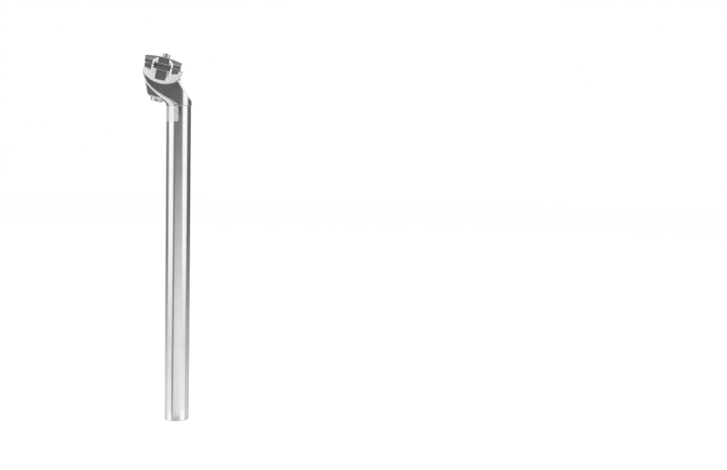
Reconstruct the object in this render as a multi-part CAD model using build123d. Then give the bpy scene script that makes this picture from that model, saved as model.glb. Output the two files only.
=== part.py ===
from build123d import *
import math
import os

os.makedirs("parts", exist_ok=True)

# Layback seatpost, 27.2 mm.  Frame: origin at the centre of the tube's lower end,
# +Z up the tube, +X to the front of the bicycle, +Y to its left.  Millimetres.

# --- tube -------------------------------------------------------------------
TUBE_D = 27.2              # outside diameter
TUBE_BORE_D = 23.4         # inside diameter
TUBE_L = 350.0             # from the open end to the joint with the head
TUBE_EDGE = 0.45           # chamfer of the open end
SEAM_EDGE = 0.30           # chamfer of the upper end, at the joint line

# --- forged head ------------------------------------------------------------
SPIGOT_D = 23.36           # part of the head that sits in the tube
SPIGOT_L = 42.0
COLLAR_R = 14.3            # the head is a little wider than the tube
COLLAR_H = 1.0
HEAD_HALF_W = 14.2         # flat sides
FRONT_Z, FRONT_LEAN = 354.6, 0.599      # the front is round like the tube up to here, then leans back
FRONT_ROUND = 2.5          # soft edge round that leaning face
BOSS_REAR_W, BOSS_FRONT_W = 13.4, 10.2   # lower part with the bolt's seat narrows towards the tube
LIP_EDGE = 0.4             # chamfer along the cup
SEAT_HALF_W = 7.3          # groove for the rocker washer
SEAT_FRONT_X = -13.8

# --- clamp geometry ---------------------------------------------------------
TILT_DEG = 12.3            # rails run down to the front by this much at rest
RAIL_X, RAIL_Z = -16.6, 390.9   # middle of the rail plane
RAIL_HALF_GAUGE = 22.0     # rails are 44 mm apart, centre to centre
RAIL_R = 3.5               # 7 mm rails
SPLIT = 0.8                # gap between the two jaws
PIVOT_UP = 10.12           # the cradle's axis lies this far above the rail plane
CRADLE_R = 28.1
CUP_GAP = 0.12             # between cradle and cup
CLAMP_HALF_L = 19.35       # half length along the rails, at the split
CLAMP_TOP_L = 20.05        # the ends lean out to this at the top of the upper jaw
EAR_FOOT_L = 18.5          # and in to this at the foot of the lower jaw's ears
NOSE_L, NOSE_ROUND = 20.5, 3.2     # blunt tips of the crescent, before rounding
CLAMP_HALF_W = 27.7        # half width across the rails
EAR_DEPTH = 8.2            # upright side of the lower jaw, at the middle
EAR_ARC_R = 62.0           # its foot rises towards the ends in a shallow arc
TOP_MID, TOP_END = 10.3, 7.8     # crown of the upper jaw: middle and ends
BEVEL_Z = 5.0              # foot of the upper jaw's side bevels
BEVEL_ROUND = 1.8          # soft edge there
RELIEF_Z, RELIEF_Y = 3.3, 18.4     # the rail grooves are relieved in the middle, so each rail bears on two lands
LEDGE_Z = 3.65             # ledge between that relief and the pocket below
SPLIT_EDGE = 0.5           # broken lower edge of the upper jaw there
TOP_NOTCH_Y = 23.5         # back of the upper jaw's side notches
CHANNEL_HALF_W = 14.2      # scooped channel between the ears, front and rear
NOTCH_HALF_W, CHEEK_HALF_W, EAR_GAP_HALF_W = 5.7, 9.2, 11.0     # pocket under the rail: back, cheeks, gap between the ears
CHEEK_SLOPE = 0.8          # how far in the cheeks go for each mm across
POCKET_Y = 21.2            # back of that pocket
LOWER_ROUND, UPPER_ROUND = 0.5, 0.35    # edges of the two jaws

# --- bolt -------------------------------------------------------------------
BOLT_D = 8.0
BOLT_HEAD_D = 13.0
BOLT_HEAD_H = 4.2
HEX_AF = 5.0
HEX_DEPTH = 2.6
SEAT_R = 40.0              # radius of the rocker's seat about the cradle's axis
ROCKER_GAP = 0.08
ROCKER_FLAT = 42.2         # rocker's flat side, from the cradle's axis
WASHER_T = 1.4
WASHER_D = 13.4
BOLT_TIP = 15.8            # end of the thread above the rail plane
BOLT_TIP_EDGE = 0.5

# --- label ------------------------------------------------------------------
LABEL_T = 0.08
LABEL_Z0, LABEL_Z1 = 332.4, 349.2
LABEL_A0, LABEL_A1 = 176.0, 271.0   # degrees about the tube, from +X
LABEL_CORNER = 1.6

sin_t, cos_t = math.sin(math.radians(TILT_DEG)), math.cos(math.radians(TILT_DEG))
PIVOT_X = RAIL_X + PIVOT_UP * sin_t
PIVOT_Z = RAIL_Z + PIVOT_UP * cos_t
CLAMP = Location((RAIL_X, 0, RAIL_Z), (0, TILT_DEG, 0))   # rail frame: x along the rails, z up the bolt


def along_y(radius, length, x, z):
    """Solid cylinder with its axis along Y through (x, z)."""
    return Pos(x, 0, z) * Rot(90, 0, 0) * Cylinder(radius, length)


def along_x(radius, length, y, z):
    """Solid cylinder with its axis along X through (y, z)."""
    return Pos(0, y, z) * Rot(0, 90, 0) * Cylinder(radius, length)


def side_prism(points, half_width):
    """Outline in the XZ plane, pushed out to both sides."""
    face = make_face(Polyline(*points, close=True))
    return extrude(Plane.XZ * face, half_width, both=True)


def sharp_edges(body, limit=12):
    """Edges where the surface turns by more than limit degrees."""
    owners = {}
    for f in body.faces():
        for e in f.edges():
            owners.setdefault(hash(e), []).append((f, e))
    found = []
    for pairs in owners.values():
        if len(pairs) == 2:
            (f, e), (g, _) = pairs
            mid = e.position_at(0.5)
            if f.normal_at(mid).get_angle(g.normal_at(mid)) > limit:
                found.append(e)
    return found


def block(x0, x1, y0, y1, z0, z1):
    return Pos((x0 + x1) / 2, (y0 + y1) / 2, (z0 + z1) / 2) * Box(x1 - x0, y1 - y0, z1 - z0)


# ---------------------------------------------------------------------------
# tube
# ---------------------------------------------------------------------------
def make_tube():
    r, b = TUBE_D / 2, TUBE_BORE_D / 2
    half = Polyline(
        (b + TUBE_EDGE, 0), (r - TUBE_EDGE, 0), (r, TUBE_EDGE),
        (r, TUBE_L - SEAM_EDGE), (r - SEAM_EDGE, TUBE_L), (b, TUBE_L), (b, TUBE_EDGE), close=True)
    return revolve(Plane.XZ * make_face(half), Axis.Z)


# ---------------------------------------------------------------------------
# head
# ---------------------------------------------------------------------------
def neck_section(z, x_rear, x_front, half_w, r_rear, r_front):
    """Rounded rectangle in a level plane, with its own corner radius front and rear."""
    k = 1 - math.sqrt(0.5)
    w = half_w
    edges = [
        Line((x_front, -w + r_front), (x_front, w - r_front)),
        ThreePointArc((x_front, w - r_front), (x_front - k * r_front, w - k * r_front), (x_front - r_front, w)),
        Line((x_front - r_front, w), (x_rear + r_rear, w)),
        ThreePointArc((x_rear + r_rear, w), (x_rear + k * r_rear, w - k * r_rear), (x_rear, w - r_rear)),
        Line((x_rear, w - r_rear), (x_rear, -w + r_rear)),
        ThreePointArc((x_rear, -w + r_rear), (x_rear + k * r_rear, -w + k * r_rear), (x_rear + r_rear, -w)),
        Line((x_rear + r_rear, -w), (x_front - r_front, -w)),
        ThreePointArc((x_front - r_front, -w), (x_front - k * r_front, -w + k * r_front), (x_front, -w + r_front)),
    ]
    return Pos(0, 0, z) * make_face(edges)


# level, rear x, rear corner
NECK = [
    (TUBE_L + COLLAR_H, -14.20, 14.05),
    (354.2, -17.4, 12.6),
    (357.2, -20.5, 10.4),
    (362.2, -25.4, 6.4),
    (368.0, -31.0, 3.8),
    (374.0, -35.0, 2.2),
    (380.0, -37.2, 1.4),
    (388.0, -38.2, 1.2),
]


def make_head():
    w = HEAD_HALF_W
    neck = loft([neck_section(z, x, w, w, r, w - 0.15) for z, x, r in NECK])
    z0, z1 = FRONT_Z - 10, 394.0
    neck = neck - side_prism([(w + FRONT_LEAN * 10, z0), (w - FRONT_LEAN * (z1 - FRONT_Z), z1), (50, z1), (50, z0)], 30)
    front = neck.faces().sort_by_distance((0.7 * w, 0, FRONT_Z + 0.3 * w / FRONT_LEAN))[0]
    neck = fillet([e for e in front.edges() if e.center().Z < 387.5], FRONT_ROUND)
    outline = make_face(Polyline(
        (-38.0, 388.0), (-33.4, 360.4), (-22.6, 357.5), (-12.0, 356.2), (-12.0, 388.0), close=True))
    outline = fillet([v for v in outline.vertices() if abs(v.X + 33.4) < 1e-6], 3.0)
    boss = extrude(Plane.XZ * outline, 20, both=True)
    wr, wf = BOSS_REAR_W, BOSS_FRONT_W
    plan = make_face(Polyline((-39, -wr - 0.5), (-3, -wf + 1.2), (-3, wf - 1.2), (-39, wr + 0.5), close=True))
    boss = boss & extrude(Pos(0, 0, 345) * plan, 50)
    # soft edges down the rear and along the underside
    soft = [e for e in boss.edges()
            if abs(e.center().Y) > 8 and e.center().X < -14 and e.center().Z < 386.5]
    boss = fillet(soft, 1.0)
    head = neck + boss

    # collar against the tube, and the spigot inside it
    r = COLLAR_R
    collar = revolve(Plane.XZ * make_face(Polyline(
        (0, TUBE_L), (r - 0.3, TUBE_L), (r, TUBE_L + 0.3), (r, TUBE_L + COLLAR_H), (0, TUBE_L + COLLAR_H), close=True)), Axis.Z)
    s = SPIGOT_D / 2
    spigot = revolve(Plane.XZ * make_face(Polyline(
        (0, TUBE_L - SPIGOT_L), (s - 1.2, TUBE_L - SPIGOT_L), (s, TUBE_L - SPIGOT_L + 2.5), (s, TUBE_L + 0.5), (0, TUBE_L + 0.5),
        close=True)), Axis.Z)
    head = head + collar + spigot

    # round cup for the cradle, with its long edges broken
    cup_r = CRADLE_R + CUP_GAP
    head = head - along_y(cup_r, 60, PIVOT_X, PIVOT_Z)
    for s in (-1, 1):
        edge = make_face(Polyline((0, HEAD_HALF_W - LIP_EDGE), (cup_r, HEAD_HALF_W - LIP_EDGE), (cup_r + LIP_EDGE + 3, HEAD_HALF_W + 3),
                                  (0, HEAD_HALF_W + 3), close=True))
        cone = Pos(PIVOT_X, 0, PIVOT_Z) * revolve(edge, Axis.Y)
        head = head - (cone if s > 0 else mirror(cone, Plane.XZ))

    # groove for the rocker washer, concentric with the cup
    groove = block(-60, SEAT_FRONT_X, -SEAT_HALF_W, SEAT_HALF_W, 340, 384) - along_y(SEAT_R, 60, PIVOT_X, PIVOT_Z)
    head = head - groove

    # slot that lets the bolt swing with the cradle
    a, b = math.radians(TILT_DEG - 5.0), math.radians(TILT_DEG + 9.0)
    h = BOLT_D / 2 + 0.5

    def swing(angle, t, off):
        return (PIVOT_X - t * math.sin(angle) + off * math.cos(angle), PIVOT_Z - t * math.cos(angle) - off * math.sin(angle))

    slot = side_prism([swing(a, 24, h), swing(a, 50, h), swing(b, 50, -h), swing(b, 24, -h)], h)
    corners = [e for e in slot.edges() if abs(abs(e.center().Y) - h) < 1e-3 and e.length > 20]
    slot = fillet(corners, h * 0.8)
    return head - slot


# ---------------------------------------------------------------------------
# clamp, in the rail frame
# ---------------------------------------------------------------------------
def make_lower_clamp():
    w, gap = CLAMP_HALF_W, SPLIT / 2
    body = along_y(CRADLE_R, 2 * w, 0, PIVOT_UP) & block(-40, 40, -40, 40, -40, -gap)
    # ears with upright sides, then a slope in towards the head; the foot of the ears is a shallow arc
    r = EAR_ARC_R
    sec = make_face(Polyline((r - 40, -w), (r, -w), (r + 15.5, 15.5 - w), (r + 15.5, w - 15.5), (r, w), (r - 40, w), close=True))
    sec = fillet([v for v in sec.vertices() if abs(v.X - r) < 1e-6], 3.0)
    body = body & Pos(0, 0, r - EAR_DEPTH) * revolve(sec, Axis.Y)
    # leaning ends above the crescent's blunt tips
    for s in (-1, 1):
        end = make_face(Polyline((s * CLAMP_HALF_L, 1), (s * EAR_FOOT_L, -5.0), (s * NOSE_L, -7.8), (s * 15.7, -13.5), (s * 15.7, -30),
                                 (s * 45, -30), (s * 45, 1), close=True))
        end = fillet([v for v in end.vertices() if abs(v.Y + 7.8) < 1e-6], NOSE_ROUND)
        body = body - extrude(Plane.XZ * end, 40, both=True)
        # scooped channel between the ears
        body = body - along_y(5.1, 2 * CHANNEL_HALF_W, s * 20.9, -6.4)
    body = fillet(sharp_edges(body), LOWER_ROUND)
    for s in (-1, 1):
        body = body - along_x(RAIL_R, 60, s * RAIL_HALF_GAUGE, 0)
        # notch beside the rail, then a pocket with drafted walls that runs out into the slope
        a, c, d = NOTCH_HALF_W, CHEEK_HALF_W, EAR_GAP_HALF_W
        inner = w - CHEEK_SLOPE * (d - c)
        far = d + (29.5 - w) / CHEEK_SLOPE
        mouth = [(c, -inner), (far, -29.5), (-far, -29.5), (-c, -inner)]
        notch = extrude(Pos(0, 0, -LEDGE_Z) * make_face(Polyline((-c, -RELIEF_Y), (c, -RELIEF_Y), *mouth, close=True)), 8)
        depth = POCKET_Y + CHEEK_SLOPE * (c - a)
        pocket = extrude(Pos(0, 0, -19.0) * make_face(Polyline((-c, -depth), (-a, -POCKET_Y), (a, -POCKET_Y), (c, -depth), *mouth, close=True)), 19.1 - LEDGE_Z)
        tool = notch + pocket
        body = body - (tool if s < 0 else mirror(tool, Plane.XZ))
    ledges = [e for e in body.edges()
              if abs(e.center().Z + LEDGE_Z) < 0.02 and abs(abs(e.center().Y) - POCKET_Y) < 0.02 and abs(e.center().X) < 0.1]
    body = fillet(ledges, 0.5)
    body = body - Cylinder(BOLT_D / 2 + 0.5, 80)
    return body


def make_upper_clamp():
    w, gap = CLAMP_HALF_W, SPLIT / 2

    def section(x, top):
        b = BEVEL_Z
        return Plane(origin=(x, 0, 0), x_dir=(0, 1, 0), z_dir=(1, 0, 0)) * make_face(Polyline(
            (-w, gap), (w, gap), (w, b), (w - (top - b), top), (-w + (top - b), top), (-w, b), close=True))

    mid = TOP_MID - (TOP_MID - TOP_END) * 0.25
    half = CLAMP_TOP_L + 0.6
    body = loft([section(-half, TOP_END), section(-half / 2, mid), section(0, TOP_MID),
                 section(half / 2, mid), section(half, TOP_END)])
    for s in (-1, 1):
        body = body - side_prism([(s * CLAMP_HALF_L, gap), (s * CLAMP_TOP_L, TOP_END), (s * 20.4, 11.8), (s * 45, 11.8), (s * 45, -3), (s * 19.0, -3)], 40)
    feet = [e for e in body.edges() if abs(abs(e.center().Y) - w) < 0.02 and abs(e.center().Z - BEVEL_Z) < 0.02]
    body = fillet(feet, BEVEL_ROUND)
    body = fillet(sharp_edges(body), UPPER_ROUND)
    for s in (-1, 1):
        body = body - along_x(RAIL_R, 60, s * RAIL_HALF_GAUGE, 0)
        notch = make_face(Polyline((-5.9, TOP_NOTCH_Y), (5.9, TOP_NOTCH_Y), (11.4, 28.0), (11.4, 30), (-11.4, 30), (-11.4, 28.0), close=True))
        notch = extrude(Pos(0, 0, -1) * notch, 14)
        tool = notch + block(-CHEEK_HALF_W, CHEEK_HALF_W, RELIEF_Y, 32, -1, RELIEF_Z)
        body = body - (tool if s > 0 else mirror(tool, Plane.XZ))
    rims = [e for e in body.edges()
            if abs(abs(e.center().Y) - RELIEF_Y) < 0.02 and abs(e.center().Z - gap) < 0.02 and abs(e.center().X) < 0.1]
    body = chamfer(rims, SPLIT_EDGE)
    # corners of the notches' backs, and the bolt hole with a broken edge
    corners = [e for e in body.edges() if abs(abs(e.center().Y) - TOP_NOTCH_Y) < 0.02 and abs(abs(e.center().X) - 5.9) < 0.02]
    body = fillet(corners, 0.6)
    hole = Cylinder(BOLT_D / 2 + 0.06, 60) + Pos(0, 0, TOP_MID) * Cone(BOLT_D / 2 - 0.3, BOLT_D / 2 + 0.9, 1.2)
    return body - hole


def make_bolt():
    under = PIVOT_UP - ROCKER_FLAT - WASHER_T - 0.02     # underside of the screw's head
    r = BOLT_HEAD_D / 2
    s = BOLT_D / 2
    half = Polyline(
        (0, under - BOLT_HEAD_H), (r - 0.6, under - BOLT_HEAD_H), (r, under - BOLT_HEAD_H + 0.6), (r, under), (s, under),
        (s, BOLT_TIP - BOLT_TIP_EDGE), (s - BOLT_TIP_EDGE, BOLT_TIP), (0, BOLT_TIP), close=True)
    bolt = revolve(Plane.XZ * make_face(half), Axis.Z)
    socket = extrude(Pos(0, 0, under - BOLT_HEAD_H - 1) * RegularPolygon(HEX_AF / 2, 6, major_radius=False), HEX_DEPTH + 1)
    return bolt - socket


def make_washer():
    z1 = PIVOT_UP - ROCKER_FLAT
    return Pos(0, 0, z1 - WASHER_T / 2) * (Cylinder(WASHER_D / 2, WASHER_T) - Cylinder(BOLT_D / 2 + 0.2, WASHER_T))


def make_rocker():
    flat = PIVOT_UP - ROCKER_FLAT
    blank = extrude(Pos(0, 0, flat) * RectangleRounded(12.8, 13.6, 2.0), 5)
    return blank - along_y(SEAT_R + ROCKER_GAP, 40, 0, PIVOT_UP) - Cylinder(BOLT_D / 2 + 0.3, 100)


def make_label():
    r0, thick = TUBE_D / 2, 0.5          # rounded off as a thick blank, then thinned
    h = LABEL_Z1 - LABEL_Z0
    mid_z = (LABEL_Z0 + LABEL_Z1) / 2
    ring = Pos(0, 0, mid_z) * (Cylinder(r0 + thick, h) - Cylinder(r0, h))
    a0, a1 = math.radians(LABEL_A0), math.radians(LABEL_A1)
    m = (a0 + a1) / 2
    far = [(30 * math.cos(a), 30 * math.sin(a)) for a in (a0, (a0 + m) / 2, m, (m + a1) / 2, a1)]
    wedge = extrude(Pos(0, 0, LABEL_Z0 - 1) * make_face(Polyline((0, 0), *far, close=True)), h + 2)
    film = ring & wedge
    film = fillet([e for e in film.edges() if e.length < thick * 1.5], LABEL_CORNER)
    return film & (Pos(0, 0, mid_z) * Cylinder(r0 + LABEL_T, h + 2))


pieces = {
    "post_tube": make_tube(),
    "head": make_head(),
    "lower_clamp": CLAMP * make_lower_clamp(),
    "upper_clamp": CLAMP * make_upper_clamp(),
    "clamp_bolt": CLAMP * make_bolt(),
    "bolt_washer": CLAMP * make_washer(),
    "rocker_washer": CLAMP * make_rocker(),
    "label_film": make_label(),
}

for name, shape in pieces.items():
    solids = shape.solids()
    export_step(solids[0] if len(solids) == 1 else Compound(children=list(solids)), f"parts/{name}.step")
    print(name, len(solids), round(sum(s.volume for s in solids), 1), all(s.is_valid for s in solids))
print("cradle axis", round(PIVOT_X, 4), round(PIVOT_Z, 4))
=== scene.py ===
import math

import bpy
from mathutils import Matrix, Vector


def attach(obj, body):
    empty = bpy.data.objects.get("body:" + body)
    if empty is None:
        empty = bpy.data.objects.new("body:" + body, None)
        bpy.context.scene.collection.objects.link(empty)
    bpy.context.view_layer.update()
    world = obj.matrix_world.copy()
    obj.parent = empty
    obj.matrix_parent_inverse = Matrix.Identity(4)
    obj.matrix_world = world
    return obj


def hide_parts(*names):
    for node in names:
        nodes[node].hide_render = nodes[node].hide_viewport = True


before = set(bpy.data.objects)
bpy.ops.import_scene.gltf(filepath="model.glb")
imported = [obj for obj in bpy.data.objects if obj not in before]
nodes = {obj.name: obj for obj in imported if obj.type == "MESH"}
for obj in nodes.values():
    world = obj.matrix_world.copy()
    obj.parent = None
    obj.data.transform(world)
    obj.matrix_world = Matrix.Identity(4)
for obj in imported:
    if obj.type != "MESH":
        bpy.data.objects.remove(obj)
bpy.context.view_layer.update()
scene = bpy.context.scene
MM = 0.001

# ---------------------------------------------------------------------------
# sizes in millimetres, the same as the solids'
# ---------------------------------------------------------------------------
TUBE_R, BORE_R, TUBE_L = 13.6, 11.7, 350.0
TILT = math.radians(12.3)
RAIL = Vector((-16.6, 0.0, 390.9))
SCREW_R, SCREW_TIP, PITCH = 4.0, 15.8, 1.25
ROCKER_FLAT = 10.12 - 42.2              # flat side of the rocker washer, in the rail frame
HEAD_TOP = ROCKER_FLAT - 1.4 - 0.02     # underside of the screw's head
HEAD_R, HEAD_H, HEX_AF, HEX_DEPTH = 6.5, 4.2, 5.0, 2.6
WASHER_R, WASHER_HOLE, WASHER_T = 6.7, 4.2, 1.4
FILM_T, FILM_Z0, FILM_Z1, FILM_A0, FILM_A1, FILM_CORNER = 0.08, 332.4, 349.2, 176.0, 271.0, 1.6

RAIL_FRAME = Matrix.Translation(RAIL * MM) @ Matrix.Rotation(TILT, 4, "Y") @ Matrix.Scale(MM, 4)
ROW_FRAME = Matrix.Scale(MM, 4)


# ---------------------------------------------------------------------------
# mesh helpers
# ---------------------------------------------------------------------------
def make_object(name, verts, faces, matrix, sharp_deg=35.0):
    mesh = bpy.data.meshes.new(name)
    mesh.from_pydata([matrix @ Vector(v) for v in verts], [], faces)
    mesh.validate()
    mesh.update()
    for p in mesh.polygons:
        p.use_smooth = True
    mesh.set_sharp_from_angle(angle=math.radians(sharp_deg))
    obj = bpy.data.objects.new(name, mesh)
    scene.collection.objects.link(obj)
    return obj


def rounded(points, radii, steps=4):
    """Polyline in (r, z) with chosen corners rounded off by short arcs."""
    out = []
    n = len(points)
    for i, (p, rad) in enumerate(zip(points, radii)):
        if not rad:
            out.append(p)
            continue
        a, b, c = Vector(points[i - 1]), Vector(p), Vector(points[(i + 1) % n])
        u, v = (a - b).normalized(), (c - b).normalized()
        half = math.acos(max(-1.0, min(1.0, u.dot(v)))) / 2
        cut = rad / math.tan(half)
        centre = b + (u + v).normalized() * (rad / math.sin(half))
        s, e = b + u * cut - centre, b + v * cut - centre
        turn = s.angle_signed(e) if hasattr(s, "angle_signed") else 0.0
        for k in range(steps + 1):
            t = k / steps
            d = Matrix.Rotation(-turn * t, 2) @ s
            out.append(tuple(centre + d))
    return out


def lathe(profile, segments, closed=True):
    """Turns a profile of (r, z) about the z axis. Points on the axis become one vertex."""
    verts, rings = [], []
    for r, z in profile:
        if r < 1e-6:
            rings.append([len(verts)])
            verts.append((0.0, 0.0, z))
        else:
            rings.append(list(range(len(verts), len(verts) + segments)))
            for k in range(segments):
                a = 2 * math.pi * k / segments
                verts.append((r * math.cos(a), r * math.sin(a), z))
    faces = []
    pairs = list(zip(rings, rings[1:] + rings[:1])) if closed else list(zip(rings, rings[1:]))
    for a, b in pairs:
        if len(a) == 1 and len(b) == 1:
            continue
        for k in range(segments):
            m = (k + 1) % segments
            if len(a) == 1:
                faces.append((a[0], b[m], b[k]))
            elif len(b) == 1:
                faces.append((a[k], a[m], b[0]))
            else:
                faces.append((a[k], a[m], b[m], b[k]))
    return verts, faces


# ---------------------------------------------------------------------------
# material helpers
# ---------------------------------------------------------------------------
class Nodes:
    def __init__(self, tree):
        self.tree = tree
        tree.nodes.clear()

    def add(self, kind, **inputs):
        n = self.tree.nodes.new(kind)
        return n

    def link(self, a, b):
        self.tree.links.new(a, b)

    def math(self, op, a, b=None, c=None, clamp=False):
        n = self.tree.nodes.new("ShaderNodeMath")
        n.operation = op
        n.use_clamp = clamp
        for i, v in enumerate((a, b, c)):
            if v is None:
                continue
            if isinstance(v, (int, float)):
                n.inputs[i].default_value = v
            else:
                self.link(v, n.inputs[i])
        return n.outputs[0]

    def noise(self, vector, scale, detail=2.0, rough=0.5, dims="3D"):
        n = self.tree.nodes.new("ShaderNodeTexNoise")
        n.noise_dimensions = dims
        n.inputs["Scale"].default_value = scale
        n.inputs["Detail"].default_value = detail
        n.inputs["Roughness"].default_value = rough
        self.link(vector, n.inputs["Vector"])
        return n.outputs["Fac"]

    def stretch(self, vector, scale):
        n = self.tree.nodes.new("ShaderNodeMapping")
        n.vector_type = "POINT"
        n.inputs["Scale"].default_value = scale
        self.link(vector, n.inputs["Vector"])
        return n.outputs["Vector"]

    def span(self, value, lo, hi, to_lo, to_hi):
        n = self.tree.nodes.new("ShaderNodeMapRange")
        n.inputs["From Min"].default_value = lo
        n.inputs["From Max"].default_value = hi
        n.inputs["To Min"].default_value = to_lo
        n.inputs["To Max"].default_value = to_hi
        self.link(value, n.inputs["Value"])
        return n.outputs["Result"]

    def ramp(self, value, stops, smooth=False):
        n = self.tree.nodes.new("ShaderNodeValToRGB")
        n.color_ramp.interpolation = "EASE" if smooth else "LINEAR"
        els = n.color_ramp.elements
        while len(els) > 1:
            els.remove(els[-1])
        for i, (pos, c) in enumerate(stops):
            if isinstance(c, (int, float)):
                c = (c, c, c)
            e = els[0] if i == 0 else els.new(pos)
            e.position = pos
            e.color = (*c, 1.0)
        self.link(value, n.inputs[0])
        return n.outputs[0]

    def bump(self, height, strength, distance, normal=None):
        n = self.tree.nodes.new("ShaderNodeBump")
        n.inputs["Strength"].default_value = strength
        n.inputs["Distance"].default_value = distance
        self.link(height, n.inputs["Height"])
        if normal is not None:
            self.link(normal, n.inputs["Normal"])
        return n.outputs["Normal"]


def shader(name):
    mat = bpy.data.materials.new(name)
    mat.use_nodes = True
    g = Nodes(mat.node_tree)
    out = g.add("ShaderNodeOutputMaterial")
    bsdf = g.add("ShaderNodeBsdfPrincipled")
    g.link(bsdf.outputs[0], out.inputs["Surface"])
    return mat, g, bsdf


def rail_place(g, at):
    """In metres: how far a point lies from the axis of the nearer rail groove, from the rail plane and from the middle."""
    axis = (math.sin(TILT), 0.0, math.cos(TILT))
    offset = g.add("ShaderNodeVectorMath")
    offset.operation = "SUBTRACT"
    g.link(at, offset.inputs[0])
    offset.inputs[1].default_value = tuple(RAIL * MM)
    dot = g.add("ShaderNodeVectorMath")
    dot.operation = "DOT_PRODUCT"
    g.link(offset.outputs[0], dot.inputs[0])
    dot.inputs[1].default_value = axis
    sep = g.add("ShaderNodeSeparateXYZ")
    g.link(at, sep.inputs[0])
    side = g.math("ABSOLUTE", sep.outputs["Y"])
    across = g.math("SUBTRACT", side, 0.022)
    up = dot.outputs["Value"]
    away = g.math("SQRT", g.math("ADD", g.math("MULTIPLY", across, across), g.math("MULTIPLY", up, up)))
    return away, g.math("ABSOLUTE", up), side


def polished_metal(name, colour, rough, spread, lines, line_height, grain, wave, shade_grooves=False, blotch=0.0):
    """Polished metal: fine polishing lines, a faint grain, slow unevenness of the reflections and of the gloss;
    optionally painted shade in the rail grooves and split faces.
    """
    mat, g, bsdf = shader(name)
    tc = g.add("ShaderNodeTexCoord")
    at = tc.outputs["Object"]
    cloud = g.noise(at, 48.0, 3.0, 0.55)
    fine = g.noise(at, 820.0, 3.0, 0.6)
    streak = g.noise(g.stretch(at, lines), 1.0, 2.0, 0.65)
    dark = tuple(c * 0.88 for c in colour)
    light = tuple(min(1.0, c * 1.05) for c in colour)
    shade = g.math("ADD", g.math("MULTIPLY", cloud, 0.45), g.math("MULTIPLY", fine, 0.55))
    tint = g.ramp(shade, [(0.3, dark), (0.7, light)])
    if blotch:
        # cloudy patches a few millimetres wide, as hand polishing leaves on a forging
        patch = g.add("ShaderNodeVectorMath")
        patch.operation = "SCALE"
        g.link(tint, patch.inputs[0])
        g.link(g.span(g.noise(at, 330.0, 2.0, 0.55), 0.35, 0.65, 1.0 - blotch, 1.0 + 0.3 * blotch), patch.inputs["Scale"])
        tint = patch.outputs[0]
    gloss = g.math("ADD", g.math("MULTIPLY", cloud, 0.5), g.math("MULTIPLY", streak, 0.5))
    gloss = g.span(gloss, 0.3, 0.7, rough - spread, rough + spread)
    if shade_grooves:
        # the rail grooves and the faces of the split between them are left dull as forged, and their base colour is
        # darkened to grey as painted shade, standing in for the shade inside the grooves and between the jaws
        away, up, side = rail_place(g, at)
        groove_shade_mask = g.span(away, 0.00353, 0.00375, 1.0, 0.0)
        # painted shade on the split faces between the jaws, at half strength
        split_shade_mask = g.math("MULTIPLY", g.span(up, 0.00042, 0.00050, 1.0, 0.0), g.span(side, 0.0187, 0.0192, 1.0, 0.0))
        groove_shade_mask = g.math("MAXIMUM", groove_shade_mask, g.math("MULTIPLY", split_shade_mask, 0.5))
        shade_tint = g.add("ShaderNodeMix")
        shade_tint.data_type = "RGBA"
        g.link(groove_shade_mask, shade_tint.inputs[0])
        g.link(tint, shade_tint.inputs[6])
        # grey colour of the painted shade in the grooves and split faces
        g.link(g.ramp(fine, [(0.3, (0.40, 0.40, 0.41)), (0.7, (0.54, 0.54, 0.55))]), shade_tint.inputs[7])
        tint = shade_tint.outputs[2]
        gloss = g.math("ADD", gloss, g.math("MULTIPLY", groove_shade_mask, g.span(fine, 0.3, 0.7, 0.22, 0.34)))
    g.link(tint, bsdf.inputs["Base Color"])
    g.link(gloss, bsdf.inputs["Roughness"])
    bsdf.inputs["Metallic"].default_value = 1.0
    normal = g.bump(streak, 1.0, line_height)
    normal = g.bump(g.noise(at, 430.0, 2.0, 0.6), 1.0, grain, normal)
    normal = g.bump(g.noise(at, 42.0, 1.0, 0.4), 1.0, wave, normal)
    g.link(normal, bsdf.inputs["Normal"])
    return mat


tube_metal = polished_metal("polished_tube", (0.915, 0.918, 0.925), 0.14, 0.02, (1500.0, 1500.0, 14.0), 4.0e-7, 2.0e-6, 1.6e-5)
head_metal = polished_metal("polished_head", (0.900, 0.902, 0.907), 0.13, 0.025, (2600.0, 2600.0, 500.0), 6.0e-7, 1.8e-5, 1.2e-5, blotch=0.09)
# the clamps carry painted shade in their rail grooves and split faces
clamp_metal = polished_metal("polished_clamp", (0.895, 0.897, 0.903), 0.16, 0.028, (500.0, 2600.0, 2600.0), 6.0e-7, 6.0e-6, 8.0e-6, shade_grooves=True)
steel = polished_metal("bright_steel", (0.84, 0.845, 0.855), 0.13, 0.03, (1200.0, 1200.0, 6000.0), 5.0e-7, 4.0e-6, 4.0e-6)


def film_material(name):
    """Thin clear film with a milky bloom, glossy on the outside."""
    mat, g, bsdf = shader(name)
    tc = g.add("ShaderNodeTexCoord")
    at = tc.outputs["Object"]
    cloud = g.noise(at, 160.0, 3.0, 0.6)
    g.link(g.ramp(cloud, [(0.3, (0.90, 0.90, 0.905)), (0.7, (0.955, 0.955, 0.96))]), bsdf.inputs["Base Color"])
    g.link(g.span(cloud, 0.3, 0.7, 0.16, 0.26), bsdf.inputs["Roughness"])
    bsdf.inputs["Alpha"].default_value = 0.19
    bsdf.inputs["IOR"].default_value = 1.45
    g.link(g.bump(g.noise(at, 420.0, 2.0, 0.5), 0.05, 0.00004), bsdf.inputs["Normal"])
    return mat


film = film_material("clear_film")

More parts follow.
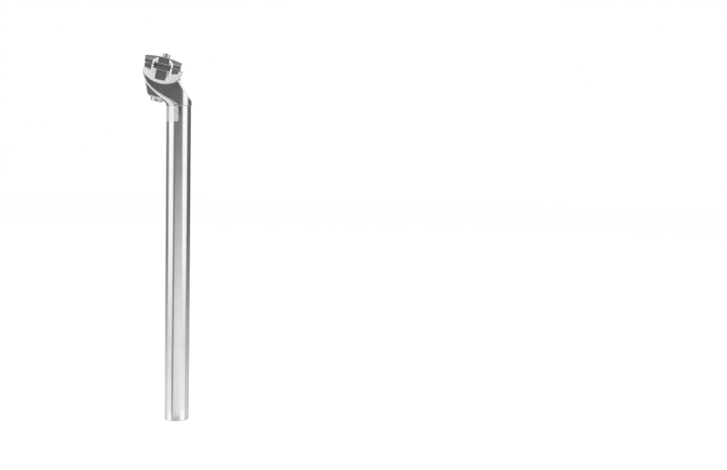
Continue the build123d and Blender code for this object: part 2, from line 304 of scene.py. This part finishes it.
# ---------------------------------------------------------------------------
# the tube
# ---------------------------------------------------------------------------
wall = [(BORE_R, TUBE_L), (BORE_R, 0.45), (BORE_R + 0.45, 0.0), (TUBE_R - 0.45, 0.0), (TUBE_R, 0.45)]
radii = [0.0, 0.25, 0.2, 0.2, 0.35]
profile = rounded(wall + [(TUBE_R, TUBE_L - 0.30), (TUBE_R - 0.30, TUBE_L)], radii + [0.25, 0.15], 4)
dense = []
for (r0, z0), (r1, z1) in zip(profile, profile[1:] + profile[:1]):
    steps = max(1, int(abs(z1 - z0) / 12.0))
    dense += [(r0 + (r1 - r0) * k / steps, z0 + (z1 - z0) * k / steps) for k in range(steps)]
tube = make_object("tube_body", *lathe(dense, 288), ROW_FRAME, 40.0)
tube.data.materials.append(tube_metal)
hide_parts("post_tube")
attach(tube, "post")

# ---------------------------------------------------------------------------
# the blank film label
# ---------------------------------------------------------------------------
arc = math.radians(FILM_A1 - FILM_A0) * TUBE_R
cols = []
steps = 10
for k in range(steps):
    cols.append(FILM_CORNER * (1 - math.cos(math.pi / 2 * k / steps)))
count = 90
for k in range(count + 1):
    cols.append(FILM_CORNER + (arc - 2 * FILM_CORNER) * k / count)
cols += [arc - c for c in reversed(cols[:steps])]
rows = 24
verts = []
for layer in (TUBE_R + FILM_T, TUBE_R + 0.004):
    for s in cols:
        near = min(s, arc - s)
        inset = 0.0 if near >= FILM_CORNER else FILM_CORNER - math.sqrt(max(0.0, FILM_CORNER ** 2 - (FILM_CORNER - near) ** 2))
        a = math.radians(FILM_A0) + s / TUBE_R
        for j in range(rows + 1):
            z = FILM_Z0 + inset + (FILM_Z1 - FILM_Z0 - 2 * inset) * j / rows
            verts.append((layer * math.cos(a), layer * math.sin(a), z))
n, m = len(cols), rows + 1
faces = []
for i in range(n - 1):
    for j in range(rows):
        p = i * m + j
        faces.append((p, p + m, p + m + 1, p + 1))
        q = p + n * m
        faces.append((q, q + 1, q + m + 1, q + m))
for i in range(n - 1):
    for p in (i * m, i * m + rows):
        q = p + n * m
        faces.append((p, q, q + m, p + m) if p % m == 0 else (p, p + m, q + m, q))
for j in range(rows):
    p, q = j, j + n * m
    faces.append((p, p + 1, q + 1, q))
    p, q = (n - 1) * m + j, (n - 1) * m + j + n * m
    faces.append((p, q, q + 1, p + 1))
label = make_object("label_sheet", verts, faces, ROW_FRAME, 40.0)
label.data.materials.append(film)
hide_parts("label_film")
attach(label, "post")

# ---------------------------------------------------------------------------
# the screw: socket head, plain shank, rolled thread
# ---------------------------------------------------------------------------
SEG = 192
verts, rings = [], []


def ring(radius, z):
    """One ring of the screw; radius is a number or a function of the angle."""
    rings.append(list(range(len(verts), len(verts) + SEG)))
    for k in range(SEG):
        a = 2 * math.pi * k / SEG
        r = radius(a) if callable(radius) else radius
        verts.append((r * math.cos(a), r * math.sin(a), z))


def hexagon(af):
    def r(a):
        t = (a + math.pi / 6) % (math.pi / 3) - math.pi / 6
        return af / 2 / math.cos(t)
    return r


def knurl(depth):
    def r(a):
        t = (a / (2 * math.pi) * 48) % 1.0
        return HEAD_R - depth * abs(t - 0.5) * 2
    return r


low = HEAD_TOP - HEAD_H
floor_z = low + HEX_DEPTH
ring(0.02, floor_z + 0.7)
ring(1.6, floor_z + 0.25)
ring(hexagon(HEX_AF), floor_z)
for k in range(1, 6):
    ring(hexagon(HEX_AF), floor_z + (low + 0.32 - floor_z) * k / 5)
ring(hexagon(HEX_AF + 0.12), low + 0.22)
ring(3.05, low + 0.02)
ring(3.2, low)
ring(4.5, low)
for k in range(0, 6):
    a = math.pi / 2 * k / 5
    ring(HEAD_R - 0.6 + 0.6 * math.sin(a), low + 0.6 - 0.6 * math.cos(a))
ring(HEAD_R, low + 0.75)
for k in range(0, 5):
    ring(knurl(0.0 if k in (0, 4) else 0.12), low + (0.8, 1.05, HEAD_H / 2 + 0.2, HEAD_H - 0.65, HEAD_H - 0.4)[k])
for k in range(1, 4):
    a = math.pi / 2 * k / 3
    ring(HEAD_R - 0.2 + 0.2 * math.cos(a), HEAD_TOP - 0.2 + 0.2 * math.sin(a))
ring(SCREW_R + 0.14, HEAD_TOP)
ring(SCREW_R, HEAD_TOP + 0.14)
THREAD_FROM = -16.1
for k in range(1, 9):
    ring(SCREW_R - 0.02, HEAD_TOP + 0.14 + (THREAD_FROM - HEAD_TOP - 0.14) * k / 8)


def thread(z):
    fade = max(0.0, min(1.0, (z - THREAD_FROM) / (1.5 * PITCH)))
    lead = max(0.0, min(1.0, (z - 8.4) / (1.5 * PITCH)))

    def r(a):
        t = ((z - 0.92) / PITCH - a / (2 * math.pi)) % 1.0
        d = abs(t - 0.5) * 2                      # 0 at the crest, 1 at the root
        crest, depth = 0.14 + 0.46 * lead, 0.72 - 0.47 * lead
        cut = min(1.0, max(0.0, (d - crest) / (0.76 - crest)))
        cut = cut * cut * (3 - 2 * cut) * 0.25 + cut * 0.75
        return min(SCREW_R - 0.02 - fade * depth * cut, SCREW_R - 0.02 - max(0.0, z - (SCREW_TIP - 0.6)) * 0.8)
    return r


rows_per_turn = 14
count = int((SCREW_TIP - THREAD_FROM) / PITCH * rows_per_turn)
for k in range(1, count + 1):
    z = THREAD_FROM + (SCREW_TIP - THREAD_FROM) * k / count
    ring(thread(z), z)
ring(2.9, SCREW_TIP)
ring(0.02, SCREW_TIP - 0.12)
faces = []
for a, b in zip(rings, rings[1:]):
    for k in range(SEG):
        q = (k + 1) % SEG
        faces.append((a[k], b[k], b[q], a[q]))
faces.append(tuple(rings[0]))
faces.append(tuple(reversed(rings[-1])))
screw = make_object("screw_body", verts, [tuple(reversed(f)) for f in faces], RAIL_FRAME, 32.0)
screw.data.materials.append(steel)
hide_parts("clamp_bolt")
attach(screw, "screw")

# ---------------------------------------------------------------------------
# the flat washer
# ---------------------------------------------------------------------------
z1 = ROCKER_FLAT
z0 = z1 - WASHER_T
profile = rounded([(WASHER_HOLE, z1), (WASHER_HOLE, z0), (WASHER_R, z0), (WASHER_R, z1)], [0.12, 0.12, 0.25, 0.25], 4)
washer = make_object("washer_ring", *lathe(profile, 128), RAIL_FRAME, 40.0)
washer.data.materials.append(steel)
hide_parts("bolt_washer")
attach(washer, "cradle")

# ---------------------------------------------------------------------------
# forgings keep their solids' shape
# ---------------------------------------------------------------------------
for node, mat in (("head", head_metal), ("lower_clamp", clamp_metal), ("upper_clamp", clamp_metal), ("rocker_washer", steel)):
    o = nodes[node]
    if not o.material_slots:
        o.data.materials.append(mat)
    for slot in o.material_slots:
        slot.material = mat

# ---------------------------------------------------------------------------
# studio: two tall soft boxes, a white table, dark flags between them
# ---------------------------------------------------------------------------
world = bpy.data.worlds.new("studio")
scene.world = world
world.use_nodes = True
g = Nodes(world.node_tree)
tc = g.add("ShaderNodeTexCoord")
sep = g.add("ShaderNodeSeparateXYZ")
g.link(tc.outputs["Generated"], sep.inputs[0])
azimuth = g.math("ARCTAN2", sep.outputs["X"], g.math("MULTIPLY", sep.outputs["Y"], -1.0))
azimuth = g.span(azimuth, -math.pi, math.pi, 0.0, 1.0)
degrees = g.math("MULTIPLY", g.math("ARCSINE", sep.outputs["Z"]), 180.0 / math.pi)


def az(*stops):
    """Ramp round the horizon: degrees from the front, positive to the right."""
    return g.ramp(azimuth, [((d + 180.0) / 360.0, v) for d, v in stops])


def el(*stops, height=degrees):
    """Ramp over the height above the horizon in degrees."""
    return g.ramp(g.span(height, -90.0, 90.0, 0.0, 1.0), [((d + 90.0) / 180.0, v) for d, v in stops])


# soft boxes left and right, flags and room between them
sides = az((-180, 0.74), (-168, 0.74), (-156, 0.26), (-103, 0.24), (-92, 1.06), (-51, 1.06), (-41, 0.23), (-34, 0.19), (-24, 0.062),
           (5, 0.062), (30, 0.17), (37, 0.36), (45, 1.06), (82, 1.06), (93, 0.20), (108, 0.13), (140, 0.13), (156, 0.30), (165, 1.08), (177, 1.08), (180, 0.74))
boxes = g.math("MULTIPLY", sides, el((-90, 0.0), (-14, 0.0), (-11, 0.30), (-9, 0.66), (-5.5, 1.0), (30, 1.0), (44, 0.0), (90, 0.0)))
# the table comes into view lower down at the sides than in front, and mirrors the boxes and flags nearer by
lower = az((-180, 5.0), (-100, 5.0), (-90, 5.0), (-54, 5.0), (-46, 11.0), (-36, 11.0), (-27, 0.0), (33, 0.0), (42, 5.0), (80, 5.0), (92, 6.0), (180, 5.0))
far = az((-180, 0.95), (-150, 0.92), (-102, 0.92), (-92, 1.17), (-56, 1.17), (-46, 0.95), (-25, 0.94), (5, 0.99), (33, 1.06), (44, 1.20), (78, 1.20),
         (90, 0.86), (150, 0.84), (180, 0.95))
near = az((-180, 0.95), (-164, 0.50), (-154, 0.16), (-130, 0.16), (-118, 0.36), (-106, 0.38), (-93, 1.25), (-55, 1.25), (-42, 0.46), (-10, 0.36), (20, 0.38), (34, 0.60), (44, 1.25), (78, 1.25), (92, 0.40),
          (140, 0.36), (160, 0.60), (180, 0.95))
to_near = el((-90, 0.0), (-40, 0.0), (-33, 1.0), (-20, 1.0), (-14.5, 0.0), (90, 0.0))
to_foot = el((-90, 1.0), (-40, 1.0), (-33, 0.0), (90, 0.0))
to_under = el((-90, 1.0), (-78, 1.0), (-68, 0.0), (90, 0.0))
foot = az((-180, 0.50), (-160, 0.40), (-152, 0.20), (-136, 0.20), (-126, 0.70), (-118, 1.0), (12, 1.0), (22, 0.50), (36, 0.56), (46, 1.08), (76, 1.08), (90, 0.46),
          (140, 0.38), (160, 0.42), (180, 0.50))
foot = g.math("ADD", foot, g.math("MULTIPLY", to_under, g.math("SUBTRACT", 1.0, foot)))
gain = g.math("ADD", far, g.math("MULTIPLY", to_near, g.math("SUBTRACT", near, far)))
gain = g.math("ADD", gain, g.math("MULTIPLY", to_foot, g.math("SUBTRACT", foot, gain)))
table = el((-90, 0.76), (-75, 0.78), (-60, 0.84), (-45, 0.90), (-30, 0.86), (-18, 0.88), (-10.3, 0.88), (-8.3, 0.84), (-6.3, 0.74), (-4.3, 0.59),
           (-2.3, 0.42), (0, 0.26), (2, 0.15), (4, 0.06), (8, 0.0), (90, 0.0), height=g.math("ADD", degrees, lower))
table = g.math("MULTIPLY", table, gain)
# light bank above the front, a large panel above the right rear, grey ceiling
bank = g.math("MULTIPLY", az((-180, 0.0), (-40, 0.0), (-30, 1.0), (30, 1.0), (40, 0.0), (180, 0.0)), el((-90, 0.0), (13, 0.0), (18, 0.85), (36, 0.85), (44, 0.0), (90, 0.0)))
panel = g.math("MULTIPLY", az((-180, 0.9), (-170, 0.3), (-160, 0.0), (84, 0.0), (92, 1.0), (172, 1.0), (180, 0.9)), el((-90, 0.0), (9, 0.0), (14, 1.05), (62, 1.05), (72, 0.0), (90, 0.0)))
ceiling = el((-90, 0.0), (38, 0.0), (52, 0.23), (90, 0.24))
room = g.math("MAXIMUM", g.math("MAXIMUM", boxes, table), g.math("MAXIMUM", bank, g.math("MAXIMUM", panel, ceiling)))
path = g.add("ShaderNodeLightPath")
seen = g.math("MAXIMUM", room, path.outputs["Is Camera Ray"])
bg = g.add("ShaderNodeBackground")
g.link(seen, bg.inputs["Color"])
out = g.add("ShaderNodeOutputWorld")
g.link(bg.outputs[0], out.inputs["Surface"])

# pale floor, open from below
verts = [(6.0 * math.cos(2 * math.pi * k / 96), 6.0 * math.sin(2 * math.pi * k / 96), -0.0012) for k in range(96)]
mesh = bpy.data.meshes.new("floor")
mesh.from_pydata(verts, [], [tuple(range(96))])
floor = bpy.data.objects.new("floor", mesh)
scene.collection.objects.link(floor)
mat = bpy.data.materials.new("pale_floor")
mat.use_nodes = True
g = Nodes(mat.node_tree)
out = g.add("ShaderNodeOutputMaterial")
path = g.add("ShaderNodeLightPath")
geo = g.add("ShaderNodeNewGeometry")
white = g.add("ShaderNodeEmission")
white.inputs["Strength"].default_value = 0.88
matte = g.add("ShaderNodeBsdfDiffuse")
matte.inputs["Color"].default_value = (0.21, 0.21, 0.21, 1.0)
both = g.add("ShaderNodeAddShader")
g.link(white.outputs[0], both.inputs[0])
g.link(matte.outputs[0], both.inputs[1])
sheen = g.add("ShaderNodeEmission")
sheen.inputs["Strength"].default_value = 0.72
pick = g.add("ShaderNodeMixShader")
g.link(path.outputs["Is Camera Ray"], pick.inputs[0])
g.link(sheen.outputs[0], pick.inputs[1])
g.link(both.outputs[0], pick.inputs[2])
clear = g.add("ShaderNodeBsdfTransparent")
side = g.add("ShaderNodeMixShader")
g.link(geo.outputs["Backfacing"], side.inputs[0])
g.link(pick.outputs[0], side.inputs[1])
g.link(clear.outputs[0], side.inputs[2])
g.link(side.outputs[0], out.inputs["Surface"])
mesh.materials.append(mat)
floor.visible_glossy = False


def soft_box(name, where, target, size, power):
    light = bpy.data.lights.new(name, "AREA")
    light.shape = "RECTANGLE"
    light.size, light.size_y = size
    light.energy = power
    o = bpy.data.objects.new(name, light)
    o.location = where
    o.rotation_euler = (Vector(target) - Vector(where)).to_track_quat("-Z", "Y").to_euler()
    o.visible_glossy = False
    o.visible_camera = False
    scene.collection.objects.link(o)
    return o


soft_box("box_left", (-1.6, -1.6, 1.2), (0, 0, 0.25), (1.2, 1.6), 40.0)
soft_box("box_right", (1.6, -1.5, 1.2), (0, 0, 0.25), (1.2, 1.6), 40.0)

# ---------------------------------------------------------------------------
# camera
# ---------------------------------------------------------------------------
cam = bpy.data.cameras.new("camera")
cam.lens = 55.931
cam.sensor_width = 36.0
cam.sensor_fit = "HORIZONTAL"
cam.clip_start = 0.01
cam.clip_end = 60.0
camera = bpy.data.objects.new("camera", cam)
scene.collection.objects.link(camera)
right = (0.993833, -0.109278, 0.018800)
up = (-0.010901, 0.072439, 0.997313)
back = (-0.110346, -0.991368, 0.070801)
place = (0.066503, -1.268962, 0.299853)
camera.matrix_world = Matrix((
    (right[0], up[0], back[0], place[0]),
    (right[1], up[1], back[1], place[1]),
    (right[2], up[2], back[2], place[2]),
    (0, 0, 0, 1)))
scene.camera = camera
scene.view_settings.view_transform = "Standard"
scene.view_settings.look = "None"
